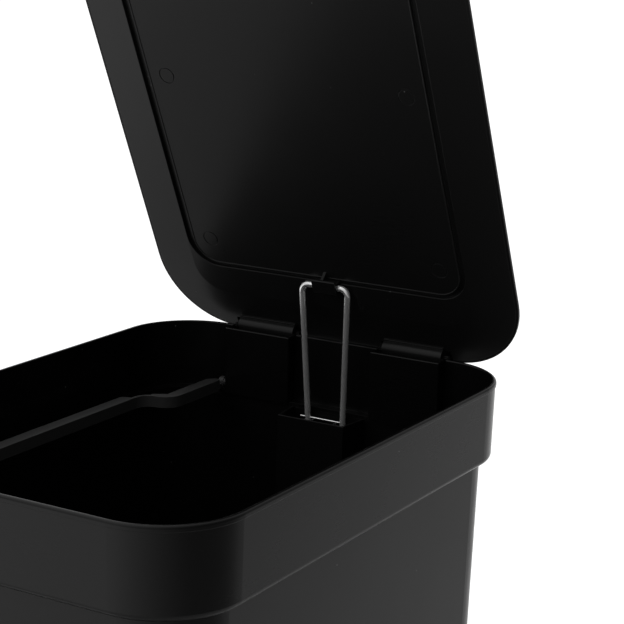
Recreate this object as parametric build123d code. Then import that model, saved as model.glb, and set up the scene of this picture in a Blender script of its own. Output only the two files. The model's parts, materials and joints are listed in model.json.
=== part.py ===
"""Pedal trash can: plastic bin, step pedal, wire lid link and bag frame, lid standing open."""
from build123d import *
import math
import os

os.makedirs("parts", exist_ok=True)

# Bin, seen from above, and its heights (mm)
RIM_W = 266.0
RIM_D = 367.0
RIM_R = 48.0
RIM_Z = 600.0
COLLAR_Z = 550.2
LIP_H = 3.5
LEDGE_Z = 555.4
BODY_INSET = 8.35
DRAFT = 0.0248
WALL = 2.6
FLOOR_Z = 68.0
FLOOR_T = 3.0

# Lid and its hinge
HINGE_Y = 186.5
HINGE_Z = 599.9
LID_OPEN = 65.24
LID_W = 269.1
LID_D = 376.0
LID_R = 52.7
LID_Y = 2.95
LIP_Z = HINGE_Z + 2.3
KNUCKLE_R = 5.8
KNUCKLE_X = (34.0, 77.0)
PIN_R = 1.5
STRAP_V = 6.9
BLOCK_X = (30.7, 81.1)
BLOCK_Y = 170.7
BLOCK_Z = 599.85
CREST_Z = HINGE_Z - 0.84
PANEL_Z = HINGE_Z + 0.12
BEAD_Z = PANEL_Z - 0.4
GROOVE_Z = CREST_Z + 2.5
GROOVE_Y = -6.2

# Wire link from the lid to the push rod
WIRE_R = 2.0
CLIP_V = 46.2
CLIP_N = 3.6
LINK_TOP_X = 17.1
LINK_FOOT_X = 13.1
LINK_FOOT = (168.9, 549.0)
LINK_BAR = (-19.0, 14.6)
BAR_R = 0.55

# Push rod and its duct
ROD_Y = 164.0
ROD_TOP = 530.0
DUCT_Z = 553.2
DUCT_Y = 149.4

# Bag frame
ARM_Z = (556.2, 563.8)

# Pedal
AXLE_Y = -35.0
AXLE_Z = 36.0
AXLE_R = 3.0
NOSE_ARM = 188.0
NOSE_R = 5.0
PEDAL_DOWN = 6.1
PEDAL_TIP = -194.0
BASE_TOP = 75.0

BOTTOM = (Align.CENTER, Align.CENTER, Align.MIN)
LOW_Y = (Align.CENTER, Align.MIN, Align.MIN)
LOW_X = (Align.MIN, Align.CENTER, Align.CENTER)


def plan(inset, z):
    """Rim outline moved inwards by an inset, at one height."""
    outline = RectangleRounded(RIM_W - 2 * inset, RIM_D - 2 * inset, RIM_R - inset)
    return Pos(0, 0, z) * outline


def lid_plan(inset, z):
    """Lid outline moved inwards by an inset, with the lid shut."""
    outline = RectangleRounded(LID_W - 2 * inset, LID_D - 2 * inset, LID_R - inset)
    return Pos(0, LID_Y, z) * outline


def slab(z0, inset0, z1, inset1, outline=plan):
    """Tapered rounded block between two heights."""
    return loft([outline(inset0, z0).face(), outline(inset1, z1).face()], ruled=True)


def body_inset(z):
    """Inset of the bin's outer wall at a height."""
    return BODY_INSET + DRAFT * (COLLAR_Z - z)


def span(x0, x1, y0, y1, z0, z1):
    """Box given by its limits."""
    size = (x1 - x0, y1 - y0, z1 - z0)
    return Pos(x0, y0, z0) * Box(*size, align=(Align.MIN, Align.MIN, Align.MIN))


def rod_x(x0, x1, y, z, radius):
    """Cylinder along X between two places."""
    turned = Rot(0, 90, 0) * Cylinder(radius, x1 - x0, align=BOTTOM)
    return Pos(x0, y, z) * turned


def both(shape):
    """A shape together with its mirror image across the middle."""
    return shape + mirror(shape, about=Plane.YZ)


def to_rest(shape):
    """Swings a shape drawn on the shut lid to the open rest position."""
    back = Pos(0, -HINGE_Y, -HINGE_Z) * shape
    return Pos(0, HINGE_Y, HINGE_Z) * (Rot(-LID_OPEN, 0, 0) * back)


def pedal_rest(shape):
    """Tips a shape drawn on the level pedal to the pressed rest position."""
    back = Pos(0, -AXLE_Y, -AXLE_Z) * shape
    return Pos(0, AXLE_Y, AXLE_Z) * (Rot(PEDAL_DOWN, 0, 0) * back)


def make_body():
    """Bin wall and floor, drawn in towards the bottom."""
    top = LEDGE_Z - 2.6
    outer = slab(FLOOR_Z, body_inset(FLOOR_Z), top, body_inset(top))
    inner_z = FLOOR_Z + FLOOR_T
    inner = slab(inner_z, body_inset(inner_z) + WALL, top + 1, body_inset(top + 1) + WALL)
    body = outer - inner
    slot = span(-11, 11, 140, 157.5, FLOOR_Z - 1, inner_z + 1)
    bosses = both(Pos(88, 137, inner_z) * Cylinder(6, 14, align=BOTTOM))
    bosses += both(Pos(88, -137, inner_z) * Cylinder(6, 14, align=BOTTOM))
    holes = both(Pos(88, 137, FLOOR_Z - 1) * Cylinder(2.2, 14, align=BOTTOM))
    holes += both(Pos(88, -137, FLOOR_Z - 1) * Cylinder(2.2, 14, align=BOTTOM))
    return body + bosses - slot - holes


def hinge_blocks():
    """Two blocks inside the back of the collar that carry the lid hinge, and a rail between."""
    block = span(BLOCK_X[0], BLOCK_X[1], BLOCK_Y, 182.0, LEDGE_Z - 1.5, BLOCK_Z)
    block = fillet(block.edges().filter_by(Axis.Z).sort_by(Axis.Y)[:2], 1.2)
    block = fillet(block.edges().group_by(Axis.Y)[0].sort_by(Axis.Z)[-1:], 0.8)
    lug = span(BLOCK_X[0], BLOCK_X[1], 181.0, 189.9, 583.0, BLOCK_Z)
    lug = chamfer(lug.edges().group_by(Axis.Y)[-1].sort_by(Axis.Z)[:1], 7.5)
    cheeks = span(BLOCK_X[0], BLOCK_X[1], HINGE_Y - 3.0, HINGE_Y + 3.0, 590.0, HINGE_Z + 0.8)
    rail = span(-1, BLOCK_X[0] + 1, 181.0, 189.9, 583.0, 593.4)
    rail = chamfer(rail.edges().group_by(Axis.Y)[-1].sort_by(Axis.Z)[:1], 7.5)
    return both(block + lug + cheeks + rail)


def hinge_recesses():
    """Room for the lid knuckles, their pins and the bag frame pivots."""
    x0, x1 = KNUCKLE_X[0] - 0.3, KNUCKLE_X[1] + 0.3
    trough = rod_x(x0, x1, HINGE_Y, HINGE_Z, 6.4)
    trough += span(x0, x1, 178.6, 196.0, HINGE_Z, 612.0)
    trough += span(x0, x1, 178.6, 186.0, 596.9, HINGE_Z)
    shelf = span(BLOCK_X[0] + 1.8, BLOCK_X[1] - 1.8, BLOCK_Y + 1.9, 180.0, 596.9, 612.0)
    bore = rod_x(BLOCK_X[0] + 0.8, BLOCK_X[1] - 0.8, HINGE_Y, HINGE_Z, PIN_R)
    pivot = rod_x(75.0, 90.0, 175.0, 560.2, 3.05)
    return both(trough + shelf + bore + pivot)


def make_collar():
    """Rim collar: lip, outer band, inner ledge and hinge blocks."""
    band = slab(COLLAR_Z, 1.5, RIM_Z - LIP_H, 0.55)
    band = fillet(band.edges().group_by(Axis.Z)[0], 3.8)
    hollow = slab(LEDGE_Z, 3.7, RIM_Z + 1, 2.84)
    lip = extrude(plan(0, RIM_Z - LIP_H), LIP_H)
    lip = fillet(lip.edges().group_by(Axis.Z)[0], 0.35)
    lip = fillet(lip.edges().group_by(Axis.Z)[-1], 1.8) - hollow
    crown = lip.faces().sort_by(Axis.Z)[-1]
    lip = lip.fillet(0.85, crown.inner_wires()[0].edges())
    ledge = slab(COLLAR_Z - 1, 10.9, RIM_Z, 10.9)
    seat = slab(COLLAR_Z - 1, 8.3, LEDGE_Z - 2.6, 8.25)
    collar = band + lip - hollow - ledge - seat
    collar += hinge_blocks() & slab(COLLAR_Z, -20, RIM_Z + 8, -20)
    return collar - hinge_recesses()


def duct_ring(z, grow):
    """Duct outline at a height, open towards the back wall."""
    y = DUCT_Y - DRAFT * (DUCT_Z - z)
    back = y + 23.0
    front_x = 24.7 - grow
    back_x = 27.7 - grow
    points = [(-back_x, back + grow), (-front_x, y + grow)]
    points += [(front_x, y + grow), (back_x, back + grow)]
    return Pos(0, 0, z) * make_face(Polyline(*points, close=True))


def make_duct():
    """Duct cover that hides the push rod against the back wall."""
    low = FLOOR_Z + FLOOR_T
    outer = loft([duct_ring(low, 0).face(), duct_ring(DUCT_Z, 0).face()], ruled=True)
    inner = loft([duct_ring(low - 1, 1.4).face(), duct_ring(DUCT_Z + 1, 1.4).face()], ruled=True)
    top = LEDGE_Z - 2.6
    limit = slab(low, body_inset(low) + WALL + 0.05, top, body_inset(top) + WALL + 0.05)
    limit += slab(top, 11.0, DUCT_Z + 1, 11.0)
    duct = (outer - inner) & limit
    return fillet(duct.edges().group_by(Axis.Z)[-1].sort_by(Axis.Y)[:2], 0.4)


def cheek_relief():
    """Room in the lid for the pin cheeks of the hinge blocks."""
    relief = rod_x(BLOCK_X[0] - 0.5, KNUCKLE_X[0], HINGE_Y, HINGE_Z, 4.3)
    relief += rod_x(KNUCKLE_X[1], BLOCK_X[1] + 0.5, HINGE_Y, HINGE_Z, 4.3)
    return both(relief)


def make_shell():
    """Outer skin of the lid, with notches over the hinge."""
    edge = extrude(lid_plan(0, LIP_Z), 1.74)
    dome = slab(LIP_Z + 1.74, 0, LIP_Z + 16.5, 30, lid_plan)
    outer = edge + dome
    crown = outer.edges().group_by(Axis.Z)[-1]
    outer = fillet(crown, 40)
    inner = slab(LIP_Z - 1, 1.9, LIP_Z + 0.7, 1.9, lid_plan)
    inner += slab(LIP_Z + 0.7, 1.9, LIP_Z + 14.0, 31, lid_plan)
    shell = outer - inner
    notch = rod_x(KNUCKLE_X[0] - 0.1, KNUCKLE_X[1] + 0.1, HINGE_Y, HINGE_Z, KNUCKLE_R + 0.1)
    keep = span(-200, 200, 150, 220, HINGE_Z, LIP_Z + 1.9)
    return shell - (both(notch) & keep) - cheek_relief()


def groove_edge(edge):
    """True for an edge of the bead round the panel or the outside of its groove."""
    mid = edge @ 0.5
    if abs(mid.Z - BEAD_Z) < 0.02:
        return True
    across = max(abs(mid.X) - 82.1, 0)
    along = max(abs(mid.Y - GROOVE_Y) - 123.9, 0)
    return abs(mid.Z - CREST_Z) < 0.02 and abs(math.hypot(across, along) - 21.1) < 0.05


def liner_plate():
    """Inner skin of the lid: sloping flange, groove, edge bead and flat middle panel."""
    plate = slab(LIP_Z - 0.1, 1.9, LIP_Z + 0.6, 1.9, lid_plan)
    plate += slab(LIP_Z + 0.6, 1.9, LIP_Z + 2.0, 5.0, lid_plan)
    plate += slab(CREST_Z, 30.95, LIP_Z - 0.1, 1.9, lid_plan)
    outer = Pos(0, GROOVE_Y, CREST_Z - 1) * RectangleRounded(206.4, 290.0, 21.1)
    inner = Pos(0, -5.16, CREST_Z - 1) * RectangleRounded(197.9, 283.4, 17.0)
    sunk = Pos(0, -5.16, CREST_Z - 1) * RectangleRounded(196.1, 281.6, 16.1)
    plate -= extrude(outer, BEAD_Z - CREST_Z + 1)
    plate -= extrude(sunk, PANEL_Z - CREST_Z + 1)
    plate -= extrude(outer, GROOVE_Z - CREST_Z + 1) - extrude(inner, 9)
    pocket = Pos(0, -5.16, PANEL_Z + 2.3) * RectangleRounded(190.0, 275.0, 14.0)
    plate = (plate - extrude(pocket, 5)).solids()[0]
    rims = plate.edges().filter_by(groove_edge)
    return plate.fillet(0.35, rims)


def liner_marks():
    """Six shallow ring-shaped moulding marks in the panel."""
    ring = Cylinder(5.6, 1.1, align=BOTTOM) - Cylinder(4.95, 1.1, align=BOTTOM)
    marks = []
    for v in (69.1, 192.3, 315.5):
        marks.append(both(Pos(84.9, HINGE_Y - v, PANEL_Z - 0.5) * ring))
    return marks[0] + marks[1] + marks[2]


def lid_profile(points, half_width):
    """Solid across the lid from points given as distance from the hinge and depth below it."""
    corners = [(HINGE_Y - v, HINGE_Z - n) for v, n in points]
    face = make_face(Polyline(*[(0, y, z) for y, z in corners], close=True))
    return extrude(face, half_width, dir=(1, 0, 0), both=True)


def link_clip():
    """Hook under the lid that holds the cross bar of the wire link."""
    hook = [(40.0, -1.0), (40.0, 1.52), (48.28, 1.52), (48.28, 5.68), (42.4, 5.68), (42.4, 6.6)]
    hook += [(43.1, 7.3), (52.0, 7.3), (52.5, 6.8), (52.5, 5.68), (49.6, 5.68), (49.6, -1.8)]
    saddle = Pos(1.4, 0, 0) * lid_profile(hook, 8.65)
    rib = lid_profile([(49.0, -1.0), (49.0, 6.0), (52.2, 6.0), (54.9, -0.1), (54.9, -1.0)], 1.0)
    return saddle + rib


def make_liner():
    """Lid liner with hinge knuckles and the link hook."""
    knuckle = rod_x(KNUCKLE_X[0], KNUCKLE_X[1], HINGE_Y, HINGE_Z, KNUCKLE_R)
    knuckle = knuckle & span(0, 200, 150, 220, 580, LIP_Z + 1.8)
    strap = span(*KNUCKLE_X, HINGE_Y - STRAP_V, HINGE_Y, HINGE_Z - 0.2, LIP_Z + 0.5)
    strap = fillet(strap.edges().group_by(Axis.Y)[0].sort_by(Axis.Z)[:1], 0.4)
    knuckle += strap
    bore = rod_x(KNUCKLE_X[0] - 1, KNUCKLE_X[1] + 1, HINGE_Y, HINGE_Z, PIN_R + 0.05)
    liner = liner_plate() - liner_marks() - cheek_relief()
    return liner + both(knuckle) + link_clip() - both(bore)


def make_hinge_pin(side):
    """Steel pin through one knuckle."""
    pin = rod_x(BLOCK_X[0] + 0.8, BLOCK_X[1] - 0.8, HINGE_Y, HINGE_Z, PIN_R)
    return pin if side > 0 else mirror(pin, about=Plane.YZ)


def make_buffer(side):
    """Soft stop under the front edge of the lid."""
    v = 366.6
    pad = Pos(side * 60, HINGE_Y - v, HINGE_Z + 0.2) * Cylinder(2.9, 2.4, align=BOTTOM)
    return pad - liner_plate()


def link_top():
    """Place of the link's cross bar with the lid open."""
    a = math.radians(LID_OPEN)
    y = HINGE_Y - CLIP_V * math.cos(a) - CLIP_N * math.sin(a)
    z = HINGE_Z + CLIP_V * math.sin(a) - CLIP_N * math.cos(a)
    return y, z


def make_link():
    """Bent steel wire from the lid hook, welded to a bar over the push rod head."""
    top_y, top_z = link_top()
    along = Vector(0, top_y - LINK_FOOT[0], top_z - LINK_FOOT[1])
    length = along.length
    across = Vector(1, 0, 0)
    frame = Plane((0, LINK_FOOT[0], LINK_FOOT[1]), x_dir=across, z_dir=across.cross(along))
    points = [(-LINK_FOOT_X, -2.6), (-LINK_TOP_X, length)]
    points += [(LINK_TOP_X, length), (LINK_FOOT_X, -2.6)]
    path = frame * FilletPolyline(*points, radius=5.0)
    start = Plane(path @ 0, z_dir=path % 0)
    bar = rod_x(*LINK_BAR, *LINK_FOOT, BAR_R)
    return sweep(start * Circle(WIRE_R), path=path) + bar


def rod_lean(shape, z):
    """Leans a shape drawn upright so that it follows the back wall, about a height."""
    angle = math.degrees(math.atan(DRAFT))
    back = Pos(0, -ROD_Y, -z) * shape
    return Pos(0, ROD_Y, z) * (Rot(-angle, 0, 0) * back)


def make_rod_head():
    """Folded steel head on whose sides the cross bar of the link rests."""
    web = span(-18.7, 18.7, 156.4, 157.9, ROD_TOP - 1.5, 549.5)
    floor = span(-18.7, 18.7, 156.4, 171.0, ROD_TOP - 1.5, ROD_TOP)
    rest = LINK_FOOT[1] - BAR_R - 0.1
    sides = both(span(7.8, 9.3, 156.4, 171.0, ROD_TOP - 1.5, rest))
    return web + floor + sides


def make_rod():
    """Flat steel push rod with a foot that rests on the pedal lever."""
    foot_z = AXLE_Z + NOSE_ARM * math.sin(math.radians(PEDAL_DOWN)) + NOSE_R + 0.12
    strip = span(-8, 8, ROD_Y - 1.25, ROD_Y + 1.25, foot_z + 2.0, ROD_TOP - 2.0)
    strip = rod_lean(strip, ROD_TOP)
    tab = span(-8, 8, ROD_Y - 6.0, ROD_Y + 1.25, ROD_TOP - 4.0, ROD_TOP - 1.5)
    y = ROD_Y - DRAFT * (ROD_TOP - foot_z)
    foot = span(-8, 8, y - 7.5, y + 3.5, foot_z, foot_z + 2.5)
    return strip + tab + foot


def make_lever():
    """Steel pedal lever: rocker plate, hub on the axle and rounded nose."""
    outline = [(-30, -150), (30, -150), (30, -60), (24, -20), (12, 20), (12, NOSE_ARM)]
    outline += [(-12, NOSE_ARM), (-12, 20), (-24, -20), (-30, -60)]
    face = make_face(Polyline(*outline, close=True))
    face = fillet(face.vertices().group_by(Axis.Y)[0], 5)
    plate = Pos(0, AXLE_Y, AXLE_Z - 1.5) * extrude(face, 3)
    flange = both(span(10.0, 12.0, AXLE_Y + 22, AXLE_Y + NOSE_ARM, AXLE_Z - 6, AXLE_Z))
    hub = rod_x(-38, 38, AXLE_Y, AXLE_Z, 6.5)
    nose = rod_x(-12, 12, AXLE_Y + NOSE_ARM, AXLE_Z, NOSE_R)
    bore = rod_x(-40, 40, AXLE_Y, AXLE_Z, AXLE_R + 0.06)
    return pedal_rest(plate + flange + hub + nose - bore)


def make_tread():
    """Moulded pedal cap pushed over the front of the lever."""
    front = PEDAL_TIP - 0.1
    cap = span(-43, 43, front, -148, AXLE_Z - 4.5, AXLE_Z + 6.5)
    cap = fillet(cap.edges().filter_by(Axis.Z).sort_by(Axis.Y)[:2], 16)
    cap = fillet(cap.edges().group_by(Axis.Z)[-1], 3)
    pocket = span(-30, 30, AXLE_Y - 150, -140, AXLE_Z - 1.5, AXLE_Z + 1.5)
    ribs = span(-34, 34, front + 9, front + 10.5, AXLE_Z + 6.0, AXLE_Z + 8)
    ribs += span(-34, 34, front + 16, front + 17.5, AXLE_Z + 6.0, AXLE_Z + 8)
    ribs += span(-34, 34, front + 23, front + 24.5, AXLE_Z + 6.0, AXLE_Z + 8)
    return pedal_rest(cap - pocket - ribs)


def make_axle():
    """Steel axle of the pedal lever."""
    return rod_x(-50, 50, AXLE_Y, AXLE_Z, AXLE_R)


def make_clip(side):
    """Spring washer on one end of the axle."""
    ring = rod_x(48.2, 49.6, AXLE_Y, AXLE_Z, 6.0) - rod_x(48, 50, AXLE_Y, AXLE_Z, AXLE_R)
    return ring if side > 0 else mirror(ring, about=Plane.YZ)


def make_base_ring():
    """Base skirt with a shelf under the bin and an opening for the pedal."""
    grow = body_inset(FLOOR_Z) - 2.5
    outer = slab(3.0, grow - 3.0, BASE_TOP, grow)
    outer = fillet(outer.edges().group_by(Axis.Z)[-1], 1.2)
    low = slab(2.0, grow - 0.6, FLOOR_Z - 3.0, grow + 2.4)
    shelf = slab(FLOOR_Z - 4.0, grow + 12, FLOOR_Z + 1, grow + 12)
    seat = slab(FLOOR_Z, body_inset(FLOOR_Z) - 0.08, 90, body_inset(90) - 0.08)
    ring = outer - low - shelf - seat
    gate = span(-50, 50, -190, -150, 2.0, 62.0)
    gate = fillet(gate.edges().filter_by(Axis.Y).sort_by(Axis.Z)[-2:], 8)
    posts = both(Pos(88, 137, 8) * Cylinder(7, FLOOR_Z - 8, align=BOTTOM))
    posts += both(Pos(88, -137, 8) * Cylinder(7, FLOOR_Z - 8, align=BOTTOM))
    posts += both(span(81, 106, 130, 156, FLOOR_Z - 4, FLOOR_Z))
    posts += both(span(81, 106, -156, -130, FLOOR_Z - 4, FLOOR_Z))
    notch = span(-14, 14, 138, 158, FLOOR_Z - 6, FLOOR_Z + 1)
    holes = both(Pos(88, 137, 7) * Cylinder(2.2, 62, align=BOTTOM))
    holes += both(Pos(88, -137, 7) * Cylinder(2.2, 62, align=BOTTOM))
    return ring - gate - notch + posts - holes


def make_base_plate():
    """Bottom plate with the two towers that carry the pedal axle."""
    grow = body_inset(FLOOR_Z) - 2.5
    plate = slab(4.0, grow + 0.0, 7.0, grow + 0.2)
    tower = span(42, 48, AXLE_Y - 14, AXLE_Y + 14, 6.0, AXLE_Z + 8)
    tower = fillet(tower.edges().filter_by(Axis.X).sort_by(Axis.Z)[-2:], 9)
    brace = span(44, 46, AXLE_Y - 30, AXLE_Y + 30, 6.0, 16)
    cups = both(Pos(88, 137, 4) * Cylinder(9, 4, align=BOTTOM))
    cups += both(Pos(88, -137, 4) * Cylinder(9, 4, align=BOTTOM))
    plate = plate + both(tower + brace) + cups
    bore = rod_x(-60, 60, AXLE_Y, AXLE_Z, AXLE_R)
    heads = both(Pos(88, 137, 3) * Cylinder(4.6, 3, align=BOTTOM))
    heads += both(Pos(88, -137, 3) * Cylinder(4.6, 3, align=BOTTOM))
    shanks = both(Pos(88, 137, 3) * Cylinder(2.2, 8, align=BOTTOM))
    shanks += both(Pos(88, -137, 3) * Cylinder(2.2, 8, align=BOTTOM))
    return plate - bore - heads - shanks


def make_screws():
    """Four screws that hold base plate, base skirt and bin together."""
    screw = Cylinder(4.4, 1.9, align=BOTTOM) + Cylinder(2.1, 76, align=BOTTOM)
    screws = []
    for x, y in ((88, 137), (-88, 137), (88, -137), (-88, -137)):
        screws.append(Pos(x, y, 4.1) * screw)
    return Compound(children=screws)


def make_foot(x, y):
    """Anti-slip pad under one corner of the base plate."""
    pad = Pos(x, y, 0) * Cylinder(11, 4.0, align=BOTTOM)
    return fillet(pad.edges().group_by(Axis.Z)[0], 1.0)


def arm_plate(points):
    """Level plate of the bag frame's height from its corners."""
    face = Pos(0, 0, ARM_Z[0]) * make_face(Polyline(*points, close=True))
    return extrude(face, ARM_Z[1] - ARM_Z[0])


def make_bag_frame():
    """Swinging frame that clamps the edge of the bag."""
    half = [(83.1, 165.0), (83.1, 110.6), (103.6, 107.9), (103.6, -162.0), (0, -162.0)]
    path = Pos(0, 0, 560.0) * FilletPolyline(*half, radius=11.2)
    section = Plane(path @ 0, x_dir=(1, 0, 0), z_dir=path % 0) * Rectangle(2.0, 7.6)
    strip = sweep(section, path=path)
    rear = [(83.0, 167.5), (86.4, 167.5), (90.4, 163.0), (90.4, 116.6), (99.3, 111.2)]
    rear += [(98.4, 109.8), (91.0, 109.4), (85.8, 113.6), (83.0, 121.0)]
    front = [(103.0, 96.5), (109.4, 94.4), (111.2, 93.0), (111.2, -166.0), (0, -166.0)]
    front += [(0, -161.5), (99.0, -161.5), (103.0, -156.0)]
    lug = span(84.4, 86.4, 163.0, 175.0, ARM_Z[0], 559.6)
    lug += rod_x(83.3, 86.4, 175.0, 560.2, 3.8)
    spigot = rod_x(75.5, 84.0, 175.0, 560.2, 3.0)
    tab = span(58, 70, -177.0, -165.0, LEDGE_Z + 0.05, 559.0)
    return both(strip + arm_plate(rear) + arm_plate(front) + lug + spigot + tab)


def build_all():
    """All pieces by name."""
    return {
        "bin_body": make_body(),
        "rim_collar": make_collar(),
        "rod_duct": make_duct(),
        "base_ring": make_base_ring(),
        "base_plate": make_base_plate(),
        "base_screws": make_screws(),
        "foot_front_left": make_foot(-80, -115),
        "foot_front_right": make_foot(80, -115),
        "foot_back_left": make_foot(-80, 115),
        "foot_back_right": make_foot(80, 115),
        "hinge_pin_left": make_hinge_pin(-1),
        "hinge_pin_right": make_hinge_pin(1),
        "pedal_axle": make_axle(),
        "axle_washer_left": make_clip(-1),
        "axle_washer_right": make_clip(1),
        "lid_shell": to_rest(make_shell()),
        "lid_liner": to_rest(make_liner()),
        "lid_buffer_left": to_rest(make_buffer(-1)),
        "lid_buffer_right": to_rest(make_buffer(1)),
        "link_wire": make_link(),
        "push_rod": make_rod(),
        "push_rod_head": make_rod_head(),
        "pedal_lever": make_lever(),
        "pedal_tread": make_tread(),
        "bag_frame": make_bag_frame(),
    }


for name, shape in build_all().items():
    export_step(shape, f"parts/{name}.step")
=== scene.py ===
"""Looks for the pedal trash can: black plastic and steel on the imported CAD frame."""
import json
import math

import bpy
from mathutils import Matrix

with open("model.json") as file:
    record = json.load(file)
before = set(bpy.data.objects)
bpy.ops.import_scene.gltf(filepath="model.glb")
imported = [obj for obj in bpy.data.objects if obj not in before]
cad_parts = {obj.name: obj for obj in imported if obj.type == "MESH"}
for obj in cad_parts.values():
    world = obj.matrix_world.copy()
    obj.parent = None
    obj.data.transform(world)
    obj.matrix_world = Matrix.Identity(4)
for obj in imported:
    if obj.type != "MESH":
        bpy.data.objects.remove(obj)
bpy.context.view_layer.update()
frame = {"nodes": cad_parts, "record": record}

# Camera (metres, degrees)
CAMERA_AT = (0.58904, -0.85083, 0.89905)
CAMERA_AZIMUTH = 30.52
CAMERA_PITCH = 13.24
CAMERA_ROLL = 1.40
LENS_MM = 107.07
SENSOR_MM = 36.0

# Studio: a round plain floor (metres), and soft light that is brightest from the left (-X).
# BELOW_LIGHT stands for the bright ground round the floor; BRIGHT_X and DARK_X are how far
# a direction points right, from -1 to 1, where the fall-off starts and ends.
FLOOR_RADIUS = 1.0
FLOOR_TONE = 0.75
FLOOR_SIDES = 128
FLOOR_ROUGHNESS = 0.9
BELOW_LIGHT = 1.2
HORIZON_LIGHT = 0.55
ZENITH_LIGHT = 1.36
HORIZON_BLEND = 0.05
BRIGHT_X = -0.33
DARK_X = 0.85
DARK_SHARE = 0.15

# Surface detail. NOISE is (scale per metre, detail); heights and edge radii are in metres.
NOISE_BAND = (0.3, 0.7)

# Plastic
GRAIN_NOISE = (1400.0, 2.0)
GRAIN_HEIGHT = 0.0002
CLOUD_NOISE = (9.0, 5.0)
CLOUD_SHEEN = 0.03
FLOW_STRETCH = (6.0, 6.0, 60.0)
FLOW_NOISE = (8.0, 4.0)
FLOW_SHEEN = 0.006
SPECK_SCALE = 160.0
SPECK_RIM = (0.05, 0.08)
SPECK_PATCH_NOISE = (40.0, 1.0)
SPECK_PATCH = (0.62, 0.66)
DUST_TONE = 0.35
WEAR_GAIN = 6
WEAR_LIFT = 0.01
WEAR_COSINES = (0.97, 0.85)
WEAR_EDGE = 0.0006
SOFT_EDGE = 0.0003

# Steel
LINE_NOISE = (60.0, 3.0)
LINE_SHEEN = (-0.05, 0.08)
LINE_BUMP = 0.08
LINE_HEIGHT = 0.0001
TARNISH_NOISE = (70.0, 4.0)
TARNISH_BAND = (0.45, 0.75)
TARNISH_SHARE = 0.35
TARNISH_DARKENING = 0.6

# Rubber
BLOOM_NOISE = (120.0, 6.0)
BLOOM_TONES = (0.012, 0.03)
BLOOM_ROUGHNESS = (0.7, 0.9)
BLOOM_BUMP = 0.2
BLOOM_HEIGHT = 0.0002


# ---------------------------------------------------------------- node helpers
class Tree:
    """Short calls for building one node tree."""

    def __init__(self, owner):
        self.nodes = owner.node_tree.nodes
        self.links = owner.node_tree.links

    def add(self, kind, **values):
        """New node with inputs set by name, from sockets or plain values."""
        node = self.nodes.new("ShaderNode" + kind)
        for key, value in values.items():
            self.feed(node.inputs[key.replace("_", " ")], value)
        return node

    def feed(self, socket, value):
        """Links a socket or sets its value."""
        if isinstance(value, bpy.types.NodeSocket):
            self.links.new(value, socket)
        else:
            socket.default_value = value

    def math(self, operation, *values):
        """Maths node's result."""
        node = self.nodes.new("ShaderNodeMath")
        node.operation = operation
        for socket, value in zip(node.inputs, values):
            self.feed(socket, value)
        return node.outputs[0]

    def vector(self, operation, *values):
        """Vector maths node."""
        node = self.nodes.new("ShaderNodeVectorMath")
        node.operation = operation
        for socket, value in zip(node.inputs, values):
            self.feed(socket, value)
        return node

    def remap(self, value, low, high, new_low, new_high):
        """Value moved from one range to another, held at its ends."""
        node = self.nodes.new("ShaderNodeMapRange")
        for socket, number in zip(node.inputs, (value, low, high, new_low, new_high)):
            self.feed(socket, number)
        return node.outputs[0]

    def noise(self, where, scale, detail):
        """Noise texture's value."""
        node = self.add("TexNoise", Vector=where, Scale=scale, Detail=detail)
        return node.outputs["Fac"]

    def mix(self, factor, colour_a, colour_b):
        """Blend of two colours."""
        node = self.nodes.new("ShaderNodeMix")
        node.data_type = "RGBA"
        self.feed(node.inputs[0], factor)
        self.feed(node.inputs[6], colour_a)
        self.feed(node.inputs[7], colour_b)
        return node.outputs[2]


def new_material(name):
    """Empty node material, its tree and its principled shader."""
    mat = bpy.data.materials.new(name)
    mat.use_nodes = True
    tree = Tree(mat)
    return mat, tree, mat.node_tree.nodes["Principled BSDF"]


def grey(value):
    """Neutral colour."""
    return (value, value, value, 1)


# ---------------------------------------------------------------- materials
def plastic(name, tone, roughness, specular, grain=0.06, dust=0.0, edge=0.0):
    """Moulded plastic: fine grain, uneven sheen with faint streaks, dust and rubbed edges."""
    mat, tree, shader = new_material(name)
    where = tree.add("TexCoord").outputs["Object"]
    fine = tree.noise(where, *GRAIN_NOISE)
    broad = tree.noise(where, *CLOUD_NOISE)
    flow = tree.vector("MULTIPLY", where, FLOW_STRETCH).outputs["Vector"]
    streak = tree.noise(flow, *FLOW_NOISE)
    specks = tree.add("TexVoronoi", Vector=where, Scale=SPECK_SCALE).outputs["Distance"]
    patches = tree.noise(where, *SPECK_PATCH_NOISE)
    speck = tree.remap(specks, *SPECK_RIM, 1.0, 0.0)
    speck = tree.math("MULTIPLY", speck, tree.remap(patches, *SPECK_PATCH, 0.0, 1.0))
    colour = tree.mix(tree.math("MULTIPLY", speck, dust), grey(tone), grey(DUST_TONE))
    if edge:
        wear = edge_wear(tree)
        worn = grey(tone * WEAR_GAIN + WEAR_LIFT)
        colour = tree.mix(tree.math("MULTIPLY", wear, edge), colour, worn)
    tree.feed(shader.inputs["Base Color"], colour)
    shader.inputs["Specular IOR Level"].default_value = specular
    dull = roughness + CLOUD_SHEEN
    sheen = tree.remap(broad, *NOISE_BAND, roughness - CLOUD_SHEEN, dull)
    lines = tree.remap(streak, *NOISE_BAND, -FLOW_SHEEN, FLOW_SHEEN)
    sheen = tree.math("ADD", sheen, lines)
    tree.feed(shader.inputs["Roughness"], sheen)
    bump = tree.add("Bump", Strength=grain, Distance=GRAIN_HEIGHT, Height=fine)
    tree.feed(bump.inputs["Normal"], rounded(tree, SOFT_EDGE))
    tree.feed(shader.inputs["Normal"], bump.outputs["Normal"])
    return mat


def rounded(tree, radius):
    """Normal that softens sharp edges by a small radius."""
    return tree.add("Bevel", Radius=radius).outputs["Normal"]


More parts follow.
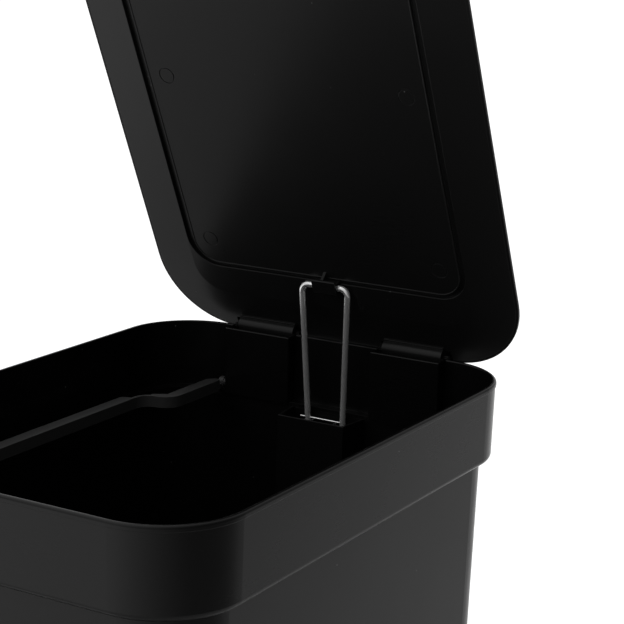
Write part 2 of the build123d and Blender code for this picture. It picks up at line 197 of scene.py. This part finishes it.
def edge_wear(tree):
    """Mask that is 1 on sharp edges."""
    soft = rounded(tree, WEAR_EDGE)
    hard = tree.nodes.new("ShaderNodeNewGeometry").outputs["Normal"]
    same = tree.vector("DOT_PRODUCT", soft, hard).outputs["Value"]
    return tree.remap(same, *WEAR_COSINES, 0.0, 1.0)


def steel(name, tone, roughness, streaks, metallic=1.0):
    """Drawn wire or plated sheet: metallic with fine drawing lines and faint tarnish."""
    mat, tree, shader = new_material(name)
    where = tree.add("TexCoord").outputs["Object"]
    along = tree.vector("MULTIPLY", where, streaks).outputs["Vector"]
    lines = tree.noise(along, *LINE_NOISE)
    cloud = tree.noise(where, *TARNISH_NOISE)
    tarnish = tree.remap(cloud, *TARNISH_BAND, 0.0, TARNISH_SHARE)
    colour = tree.mix(tarnish, grey(tone), grey(tone * TARNISH_DARKENING))
    tree.feed(shader.inputs["Base Color"], colour)
    shader.inputs["Metallic"].default_value = metallic
    low, high = (roughness + change for change in LINE_SHEEN)
    tree.feed(shader.inputs["Roughness"], tree.remap(lines, *NOISE_BAND, low, high))
    bump = tree.add("Bump", Strength=LINE_BUMP, Distance=LINE_HEIGHT, Height=lines)
    tree.feed(shader.inputs["Normal"], bump.outputs["Normal"])
    return mat


def rubber(name):
    """Matt rubber with a powdery bloom."""
    mat, tree, shader = new_material(name)
    where = tree.add("TexCoord").outputs["Object"]
    cloud = tree.noise(where, *BLOOM_NOISE)
    dark, pale = BLOOM_TONES
    tree.feed(shader.inputs["Base Color"], tree.mix(cloud, grey(dark), grey(pale)))
    dull = tree.remap(cloud, *NOISE_BAND, *BLOOM_ROUGHNESS)
    tree.feed(shader.inputs["Roughness"], dull)
    bump = tree.add("Bump", Strength=BLOOM_BUMP, Distance=BLOOM_HEIGHT, Height=cloud)
    tree.feed(shader.inputs["Normal"], bump.outputs["Normal"])
    return mat


FINISH = {
    "body_plastic": plastic(
        "body_black", tone=0.0028, roughness=0.30, specular=0.20, dust=0.5, edge=0.2),
    "collar_plastic": plastic(
        "collar_black", tone=0.0026, roughness=0.27, specular=0.20, dust=0.5, edge=0.2),
    "lid_plastic": plastic(
        "lid_black", tone=0.0075, roughness=0.30, specular=0.18, dust=0.3, edge=0.2),
    "inner_plastic": plastic(
        "inner_black", tone=0.0034, roughness=0.32, specular=0.19, dust=0.2),
    "frame_plastic": plastic(
        "frame_grey", tone=0.030, roughness=0.40, specular=0.35, edge=0.6),
    "pedal_plastic": plastic(
        "pedal_black", tone=0.0030, roughness=0.42, specular=0.25, grain=0.15, dust=0.3, edge=0.5),
    "foot_rubber": rubber("foot_rubber"),
    "wire_steel": steel(
        "bright_wire", tone=0.95, roughness=0.15, streaks=(6.0, 6.0, 0.4), metallic=0.75),
    "dark_steel": steel(
        "dark_plate", tone=0.035, roughness=0.42, streaks=(1.0, 1.0, 0.1)),
}


def dress_nodes():
    """Gives every CAD node its finish."""
    for part in frame["record"]["subparts"]:
        obj = frame["nodes"][part["node"]]
        obj.data.materials.clear()
        obj.data.materials.append(FINISH[part["material_slot"]])


# ---------------------------------------------------------------- stage
def make_floor():
    """Plain pale floor of one tone."""
    bpy.ops.mesh.primitive_circle_add(
        vertices=FLOOR_SIDES, radius=FLOOR_RADIUS, fill_type="NGON")
    floor = bpy.context.object
    floor.name = "floor"
    mat, tree, shader = new_material("pale_floor")
    tree.feed(shader.inputs["Base Color"], grey(FLOOR_TONE))
    shader.inputs["Roughness"].default_value = FLOOR_ROUGHNESS
    shader.inputs["Specular IOR Level"].default_value = 0.0
    floor.data.materials.append(mat)


def make_world():
    """Soft studio light: bright from the left, falling off evenly towards the right."""
    world = bpy.data.worlds.new("studio")
    bpy.context.scene.world = world
    world.use_nodes = True
    tree = Tree(world)
    where = tree.add("TexCoord").outputs["Generated"]
    side = tree.vector("DOT_PRODUCT", where, (1, 0, 0)).outputs["Value"]
    height = tree.vector("DOT_PRODUCT", where, (0, 0, 1)).outputs["Value"]
    sky = tree.remap(height, 0.0, 1.0, HORIZON_LIGHT, ZENITH_LIGHT)
    above = tree.remap(height, -HORIZON_BLEND, 0.0, 0.0, 1.0)
    level = tree.mix(above, grey(BELOW_LIGHT), sky)
    share = tree.remap(side, BRIGHT_X, DARK_X, 1.0, DARK_SHARE)
    tone = tree.mix(share, grey(0.0), level)
    tree.feed(world.node_tree.nodes["Background"].inputs["Color"], tone)


def make_camera():
    """Camera at the photograph's viewing angle."""
    camera = bpy.data.cameras.new("camera")
    camera.lens = LENS_MM
    camera.sensor_width = SENSOR_MM
    obj = bpy.data.objects.new("camera", camera)
    bpy.context.scene.collection.objects.link(obj)
    turn = Matrix.Rotation(math.radians(CAMERA_AZIMUTH), 4, "Z")
    tilt = Matrix.Rotation(math.radians(90 - CAMERA_PITCH), 4, "X")
    roll = Matrix.Rotation(math.radians(CAMERA_ROLL), 4, "Z")
    obj.matrix_world = Matrix.Translation(CAMERA_AT) @ turn @ tilt @ roll
    bpy.context.scene.camera = obj


dress_nodes()
make_floor()
make_world()
make_camera()
bpy.context.scene.view_settings.view_transform = "Standard"
